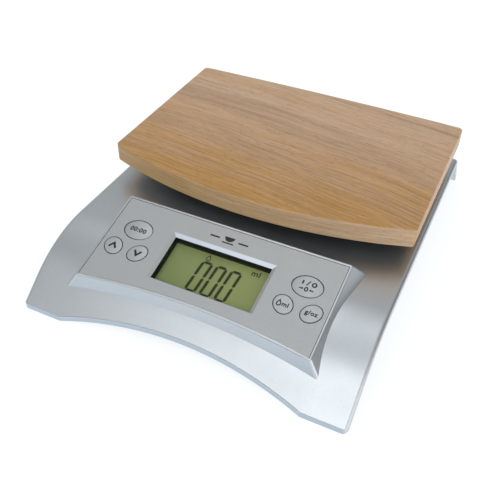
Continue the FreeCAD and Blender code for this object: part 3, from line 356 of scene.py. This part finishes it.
def sheathed_leads():
    """Red and black insulation, told apart by where the two leads run."""
    finish = Finish("sheathed_leads", 0.4)
    x, y, _ = finish.axes()
    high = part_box("battery_leads")[1]
    outer = finish.math("GREATER_THAN", x, high.x - 2.0 * MM)
    rear = finish.math("GREATER_THAN", y, high.y - 4.0 * MM)
    second = finish.math("MAXIMUM", outer, rear)
    finish.set(Base_Color=finish.ramp(second, (0.4, (0.42, 0.02, 0.015)), (0.6, (0.012, 0.012, 0.012))))
    finish.bump(finish.noise(800), 0.02 * MM, strength=0.4)
    return finish.material


def battery_wrap():
    """Printed can of a small cell: dark body, copper-coloured shoulder."""
    finish = Finish("battery_wrap", 0.28, metallic=0.7)
    low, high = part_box("battery_front")
    from_middle = finish.math("ABSOLUTE", finish.math("SUBTRACT", finish.axes()[0], (low.x + high.x) / 2))
    shoulder = finish.spread(from_middle, 0.0, 1.0, start=10 * MM, end=13 * MM)
    finish.set(Base_Color=finish.ramp(shoulder, (0.4, (0.03, 0.06, 0.11)), (0.6, (0.60, 0.34, 0.16))))
    finish.set(Roughness=finish.spread(finish.noise(200), 0.24, 0.34))
    finish.bump(finish.noise(500), 0.01 * MM, strength=0.3)
    return finish.material


def printing_ink():
    """Black printing, slightly raised and uneven."""
    finish = Finish("printing_ink", 0.55)
    speckle = finish.noise(2500)
    finish.set(Base_Color=finish.ramp(speckle, (0.3, (0.010, 0.010, 0.011)), (0.7, (0.022, 0.022, 0.024))))
    finish.bump(finish.noise(3000), 0.01 * MM, strength=0.4)
    return finish.material


def display_ink():
    """Dark green of a lit display segment."""
    finish = Finish("display_ink", 0.5, Specular_IOR_Level=0.2)
    cloud = finish.noise(900)
    finish.set(Base_Color=finish.ramp(cloud, (0.3, (0.030, 0.036, 0.008)), (0.7, (0.042, 0.050, 0.012))))
    return finish.material


FINISHES = {
    "shell_silver": silver_paint(),
    "panel_silver": panel_paint(),
    "key_silver": key_paint(),
    "tray_grey": moulded("tray_plastic", (0.16, 0.165, 0.17), (0.20, 0.205, 0.21), 0.5),
    "bezel_black": moulded("bezel_plastic", (0.006, 0.007, 0.006), (0.012, 0.013, 0.012), 0.55),
    "lens_clear": clear_window(),
    "lcd_green": display_green(),
    "wood": oiled_wood(),
    # Black plastic of the carrier, made darker still as painted shade under the platter.
    "carrier_dark": moulded("carrier_plastic_and_painted_shade", (0.006, 0.006, 0.007), (0.012, 0.012, 0.013), 0.5),
    "rubber_dark": moulded("soft_rubber", (0.012, 0.012, 0.013), (0.03, 0.03, 0.031), 0.8, grain=900),
    "rubber_contact": layered_rubber(),
    "board_green": circuit_board(),
    "part_black": moulded("part_plastic", (0.008, 0.008, 0.008), (0.02, 0.02, 0.02), 0.45),
    "socket_white": moulded("socket_nylon", (0.62, 0.59, 0.50), (0.70, 0.67, 0.58), 0.45),
    "seal_white": moulded("seal_compound", (0.66, 0.66, 0.62), (0.76, 0.76, 0.72), 0.6, grain=400),
    "steel": brushed("plated_steel", (0.46, 0.46, 0.47), (0.62, 0.62, 0.63), 0.3, (2500, 300, 300)),
    "aluminium": brushed(
        "machined_aluminium", (0.66, 0.67, 0.68), (0.80, 0.81, 0.82), 0.32, (60, 2200, 2200)),
    "foil": foil_gauge(),
    "lead_grey": moulded("cable_sheath", (0.11, 0.11, 0.12), (0.15, 0.15, 0.16), 0.45, grain=700),
    "lead_red": sheathed_leads(),
    "cell_wrap": battery_wrap(),
}
INK = printing_ink()
SEGMENT_INK = display_ink()


def dress_nodes():
    """Gives every CAD node the finish of its record slot."""
    slots = {part["node"]: part["material_slot"] for part in frame["record"]["subparts"]}
    for name, node in nodes.items():
        for holder in node.material_slots:
            holder.material = FINISHES[slots[name]]


# ---- Panel frame ----

def reach(node, direction):
    """Lowest and highest place of a node along a direction."""
    along = [vertex.co.dot(direction) for vertex in nodes[node].data.vertices]
    return min(along), max(along)


def panel_place(node, height):
    """Matrix whose origin is the middle of a node on the panel, at a height along the panel's normal."""
    right = sum(reach(node, ACROSS)) / 2
    up = sum(reach(node, SLOPE)) / 2
    turn = Matrix((ACROSS, SLOPE, OUT)).transposed().to_4x4()
    return Matrix.Translation(ACROSS * right + SLOPE * up + OUT * height) @ turn


# ---- Flat marks: strokes and letters a few hundredths of a millimetre thick ----

MARK_LIFT = 0.03 * MM
MARK_SINK = 0.05 * MM
DOME_RADIUS = 40 * MM       # of the key caps' tops
DOME_REACH = 7 * MM
DOME_PITCH = 0.5 * MM
CAPITAL_PART = 0.70         # height of a capital, as a part of the letters' size
LETTER_SPACING = 1.12


def ribbon(mesh, points, width, closed=False):
    """Stroke of even width along a run of flat points, with mitred corners."""
    points = [Vector(point) for point in points]
    count = len(points)
    pairs = []
    for index, point in enumerate(points):
        before = points[index - 1] if closed or index else None
        after = points[(index + 1) % count] if closed or index < count - 1 else None
        ahead = (after - point).normalized() if after is not None else (point - before).normalized()
        behind = (point - before).normalized() if before is not None else ahead
        across = (ahead + behind).normalized().orthogonal()
        side = across * (width / 2 / max(0.5, across.dot(ahead.orthogonal())))
        pairs.append([mesh.verts.new((*(point + side), 0)), mesh.verts.new((*(point - side), 0))])
    for index in range(count if closed else count - 1):
        first, second = pairs[index], pairs[(index + 1) % count]
        mesh.faces.new((first[0], first[1], second[1], second[0]))


def arc(centre, radius, start, end, steps=24, stretch=1.0):
    """Points of an arc, with angles in degrees, stretched upwards."""
    points = []
    for step in range(steps + 1):
        angle = math.radians(start + (end - start) * step / steps)
        points.append((centre[0] + radius * math.cos(angle), centre[1] + stretch * radius * math.sin(angle)))
    return points


def ring(mesh, centre, radius, width, stretch=1.0):
    """Closed round stroke."""
    ribbon(mesh, arc(centre, radius, 0, 360, stretch=stretch)[:-1], width, closed=True)


def plate(mesh, points):
    """Flat filled shape."""
    mesh.faces.new([mesh.verts.new((*point, 0)) for point in points])


def letters(mesh, text, centre, height, weight):
    """Plain letters of a capital height, made heavier by an outline."""
    curve = bpy.data.curves.new("letters", "FONT")
    curve.body = text
    curve.size = height / CAPITAL_PART
    curve.align_x = "CENTER"
    curve.offset = weight
    curve.space_character = LETTER_SPACING
    curve.resolution_u = 6
    holder = bpy.data.objects.new("letters", curve)
    bpy.context.scene.collection.objects.link(holder)
    bpy.context.view_layer.update()
    flat = bpy.data.meshes.new_from_object(holder.evaluated_get(bpy.context.evaluated_depsgraph_get()))
    flat.transform(Matrix.Translation((centre[0], centre[1] - height / 2, 0)))
    mesh.from_mesh(flat)
    bpy.data.objects.remove(holder)
    bpy.data.curves.remove(curve)
    bpy.data.meshes.remove(flat)


def slice_up(mesh):
    """Cuts flat faces along a square grid, so that they can follow a dome."""
    count = round(DOME_REACH / DOME_PITCH)
    for normal in (Vector((1, 0, 0)), Vector((0, 1, 0))):
        for step in range(-count, count + 1):
            geometry = list(mesh.verts) + list(mesh.edges) + list(mesh.faces)
            bmesh.ops.bisect_plane(mesh, geom=geometry, plane_co=normal * step * DOME_PITCH, plane_no=normal)


def print_mark(name, mesh, place, body, material, domed=False):
    """Turns flat faces into a thin closed piece that lies on a surface and rides on a body."""
    if domed:
        slice_up(mesh)
    bmesh.ops.remove_doubles(mesh, verts=mesh.verts, dist=0.0005 * MM)
    bmesh.ops.recalc_face_normals(mesh, faces=mesh.faces)
    top = bmesh.ops.extrude_face_region(mesh, geom=list(mesh.faces))["geom"]
    raised = {item for item in top if isinstance(item, bmesh.types.BMVert)}
    for vertex in mesh.verts:
        bow = (vertex.co.x ** 2 + vertex.co.y ** 2) / (2 * DOME_RADIUS) if domed else 0.0
        vertex.co.z = (MARK_LIFT if vertex in raised else -MARK_SINK) - bow
    bmesh.ops.recalc_face_normals(mesh, faces=mesh.faces)
    data = bpy.data.meshes.new(name)
    mesh.to_mesh(data)
    mesh.free()
    data.materials.append(material)
    piece = bpy.data.objects.new(name, data)
    piece.matrix_world = place
    bpy.context.scene.collection.objects.link(piece)
    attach(piece, body)


# ---- Key legends ----

SIGN_LEVEL = 1.75 * MM      # middle of the power key's upper row
ARROW_LEVEL = -1.9 * MM     # middle of its lower row


def chevron(mesh, up):
    """Bold open arrow that points up (1) or down (-1)."""
    half, rise = 2.0 * MM, 1.5 * MM * up
    ribbon(mesh, [(-half, -rise), (0, rise), (half, -rise)], 1.15 * MM)


def droplet(mesh, centre, size, width):
    """Outline of a drop."""
    radius = size * 0.33
    low = (centre[0], centre[1] - size / 2 + radius)
    rim = arc(low, radius, 150, 390, steps=20)
    tip = (centre[0], centre[1] + size / 2)
    ribbon(mesh, rim + [tip], width, closed=True)


def arrow(mesh, tail, tip, width):
    """Short level arrow with a solid head."""
    direction = 1 if tip > tail else -1
    neck = tip - direction * 0.9 * MM
    ribbon(mesh, [(tail, ARROW_LEVEL), (neck, ARROW_LEVEL)], width)
    plate(mesh, [(tip, ARROW_LEVEL), (neck, ARROW_LEVEL + 0.8 * MM), (neck, ARROW_LEVEL - 0.8 * MM)])


def timer_legend(mesh):
    """Clock digits."""
    letters(mesh, "00:00", (0, 0), 2.7 * MM, 0.12 * MM)


def up_legend(mesh):
    """Arrow up."""
    chevron(mesh, 1)


def down_legend(mesh):
    """Arrow down."""
    chevron(mesh, -1)


def power_legend(mesh):
    """On and off signs above a zero between two arrows."""
    foot, head = SIGN_LEVEL - 1.2 * MM, SIGN_LEVEL + 1.2 * MM
    ribbon(mesh, [(-3.0 * MM, foot), (-3.0 * MM, head)], 0.8 * MM)
    ribbon(mesh, [(-0.8 * MM, foot - 0.3 * MM), (0.6 * MM, head + 0.3 * MM)], 0.6 * MM)
    ring(mesh, (3.0 * MM, SIGN_LEVEL), 1.0 * MM, 0.75 * MM, stretch=1.1)
    ring(mesh, (0, ARROW_LEVEL), 0.75 * MM, 0.65 * MM, stretch=1.35)
    arrow(mesh, -3.8 * MM, -1.5 * MM, 0.6 * MM)
    arrow(mesh, 3.8 * MM, 1.5 * MM, 0.6 * MM)


def liquid_legend(mesh):
    """Drop for liquids."""
    droplet(mesh, (-2.1 * MM, 0.1 * MM), 3.2 * MM, 0.6 * MM)
    letters(mesh, "ml", (1.3 * MM, 0), 2.4 * MM, 0.11 * MM)


def units_legend(mesh):
    """Units of weight."""
    letters(mesh, "g/oz", (0, 0.2 * MM), 2.4 * MM, 0.11 * MM)


LEGENDS = {
    "button_timer": timer_legend,
    "button_up": up_legend,
    "button_down": down_legend,
    "button_power_tare": power_legend,
    "button_liquid": liquid_legend,
    "button_units": units_legend,
}


def make_legends():
    """Printed sign on each domed key."""
    for key, draw in LEGENDS.items():
        mesh = bmesh.new()
        draw(mesh)
        place = panel_place(key, reach(key, OUT)[1])
        print_mark(key.replace("button", "legend"), mesh, place, key, INK, domed=True)


# ---- Display ----

DIGIT_WIDTH = 6.7 * MM
DIGIT_HEIGHT = 20.2 * MM
DIGIT_STROKE = 1.6 * MM
DIGIT_GAP = 0.12 * MM
DIGIT_LEAN = 0.075
DIGIT_STEP = 8.4 * MM
DIGITS_MIDDLE = Vector((1.2, -1.4)) * MM
SIGNS_LEVEL = 11.0 * MM
SIGNS_HEIGHT = 3.4 * MM


def bar(mesh, start, end, centre):
    """One pointed display segment between two corners of a digit."""
    start, end = Vector(start), Vector(end)
    along = (end - start).normalized()
    across = along.orthogonal() * DIGIT_STROKE / 2
    first = start + along * DIGIT_GAP
    last = end - along * DIGIT_GAP
    point = along * DIGIT_STROKE / 2
    outline = [first, first + point + across, last - point + across, last, last - point - across,
               first + point - across]
    plate(mesh, [(centre[0] + p.x + DIGIT_LEAN * p.y, centre[1] + p.y) for p in outline])


def digit_zero(mesh, centre):
    """The six lit segments of a zero."""
    half = (DIGIT_WIDTH - DIGIT_STROKE) / 2
    rise = (DIGIT_HEIGHT - DIGIT_STROKE) / 2
    corners = [(-half, -rise), (half, -rise), (half, 0), (half, rise), (-half, rise), (-half, 0)]
    for index, corner in enumerate(corners):
        bar(mesh, corner, corners[(index + 1) % len(corners)], centre)


def make_display():
    """Lit segments on the glass: three zeros, with a drop and its unit above them."""
    place = panel_place("display_lens", reach("lcd_glass", OUT)[1])
    digits = bmesh.new()
    for step in (-1, 0, 1):
        digit_zero(digits, DIGITS_MIDDLE + Vector((step * DIGIT_STEP, 0)))
    print_mark("display_digits", digits, place, "base", SEGMENT_INK)
    signs = bmesh.new()
    droplet(signs, (-7.5 * MM, SIGNS_LEVEL), SIGNS_HEIGHT, 0.45 * MM)
    letters(signs, "ml", (20.0 * MM, SIGNS_LEVEL), SIGNS_HEIGHT, 0.08 * MM)
    print_mark("display_signs", signs, place, "base", SEGMENT_INK)


# ---- Panel mark, measured from the middle of the display window ----

MARK_LEVEL = 21.4 * MM
BOWL_RADIUS = 2.9 * MM
BOWL_RIM = MARK_LEVEL + 1.9 * MM
PLATE_TOP = MARK_LEVEL - 1.6 * MM
PLATE_FOOT = MARK_LEVEL - 2.4 * MM
PLATE_HALF = 3.4 * MM
PLATE_CHAMFER = 0.4 * MM


def make_panel_mark():
    """Plain pictogram of a bowl on a weighing plate, with a bar on each side, above the display."""
    place = panel_place("display_lens", reach("control_overlay", OUT)[1])
    mesh = bmesh.new()
    plate(mesh, arc((0, BOWL_RIM), BOWL_RADIUS, 180, 360))
    narrow = PLATE_HALF - PLATE_CHAMFER
    outline = [(-PLATE_HALF, PLATE_FOOT), (PLATE_HALF, PLATE_FOOT), (narrow, PLATE_TOP), (-narrow, PLATE_TOP)]
    plate(mesh, outline)
    for side in (-1, 1):
        ribbon(mesh, [(side * 5.4 * MM, MARK_LEVEL), (side * 11.0 * MM, MARK_LEVEL)], 0.95 * MM)
    print_mark("panel_mark", mesh, place, "base", INK)


# ---- Surroundings ----

FLOOR_REACH = 15.0
LIGHT_PLACE = Vector((0.0, -0.65, 0.85))
LIGHT_AIM = Vector((0, -0.05, 0))

# The room's brightness by direction: each patch has its aim, the cosines of the angle from it where the
# patch starts and is full, and its brightness outside and in the middle. The sum is the room's light.
ROOM_COLOUR = (0.93, 0.97, 1.0)
ROOM_PATCHES = (
    ((0.15, -0.6, 0.8), 0.75, 0.99, 0.43, 1.20),        # above the front, over the dim room
    ((-0.05, 0.35, 0.93), 0.9, 1.0, 0.0, 0.40),         # above the rear
    ((-0.3, 0.42, 0.86), 0.97, 1.0, 0.0, 0.9),          # a small one beside it
    ((-0.12, 0.18, 0.97), 0.955, 1.0, 0.0, 0.45),       # nearly overhead
    ((1, -0.45, 0.1), 0.8, 1.0, 0.0, 1.3),              # low at the right
    ((0, 0, -1), -0.45, -0.10, 0.0, 0.25),              # the pale horizon
    ((-0.3, -1, 0), 0.85, 1.0, 0.0, -0.5),              # a gap in it at the front
    ((0.7, 0.7, 0.05), 0.75, 1.0, 0.0, -0.45),          # a gap in it behind the right
)


def make_floor():
    """Plain pale table."""
    mesh = bmesh.new()
    bmesh.ops.create_grid(mesh, x_segments=1, y_segments=1, size=FLOOR_REACH)
    data = bpy.data.meshes.new("floor")
    mesh.to_mesh(data)
    mesh.free()
    finish = Finish("floor_paper", 0.8, Specular_IOR_Level=0.1, Emission_Strength=0.8)
    finish.set(Emission_Color=(0.97, 0.99, 1.0, 1))
    fibres = finish.noise(300)
    finish.set(Base_Color=finish.ramp(fibres, (0.3, (0.34, 0.345, 0.35)), (0.7, (0.36, 0.365, 0.37))))
    data.materials.append(finish.material)
    floor = bpy.data.objects.new("floor", data)
    bpy.context.scene.collection.objects.link(floor)


def make_light():
    """A rectangular soft light above the front."""
    light = bpy.data.lights.new("soft_box", "AREA")
    light.shape = "RECTANGLE"
    light.size, light.size_y = 0.9, 0.7
    light.energy = 1.6
    light.color = (0.95, 0.98, 1.0)
    lamp = bpy.data.objects.new("soft_box", light)
    lamp.location = LIGHT_PLACE
    lamp.rotation_euler = (LIGHT_AIM - LIGHT_PLACE).to_track_quat("-Z", "Y").to_euler()
    bpy.context.scene.collection.objects.link(lamp)


def glow_towards(tree, direction, aim, start, end, low, high):
    """Brightness that rises smoothly as a direction nears the aim."""
    near = tree.nodes.new("ShaderNodeVectorMath")
    near.operation = "DOT_PRODUCT"
    near.inputs[1].default_value = Vector(aim).normalized()
    tree.links.new(direction, near.inputs[0])
    rise = tree.nodes.new("ShaderNodeMapRange")
    rise.interpolation_type = "SMOOTHSTEP"
    for socket, number in (("From Min", start), ("From Max", end), ("To Min", low), ("To Max", high)):
        rise.inputs[socket].default_value = number
    tree.links.new(near.outputs["Value"], rise.inputs["Value"])
    return rise.outputs["Result"]


def make_room():
    """World light that depends only on direction: the sum of the room's patches."""
    world = bpy.data.worlds.new("studio")
    world.use_nodes = True
    tree = world.node_tree
    direction = tree.nodes.new("ShaderNodeTexCoord").outputs["Generated"]
    light = tree.nodes["Background"]
    light.inputs["Color"].default_value = (*ROOM_COLOUR, 1)
    first, *others = [glow_towards(tree, direction, *patch) for patch in ROOM_PATCHES]
    total = first
    for glow in others:
        both = tree.nodes.new("ShaderNodeMath")
        tree.links.new(total, both.inputs[0])
        tree.links.new(glow, both.inputs[1])
        total = both.outputs[0]
    tree.links.new(total, light.inputs["Strength"])
    bpy.context.scene.world = world


make_camera()
dress_nodes()
make_legends()
make_display()
make_panel_mark()
make_floor()
make_light()
make_room()
bpy.context.scene.view_settings.view_transform = "Standard"
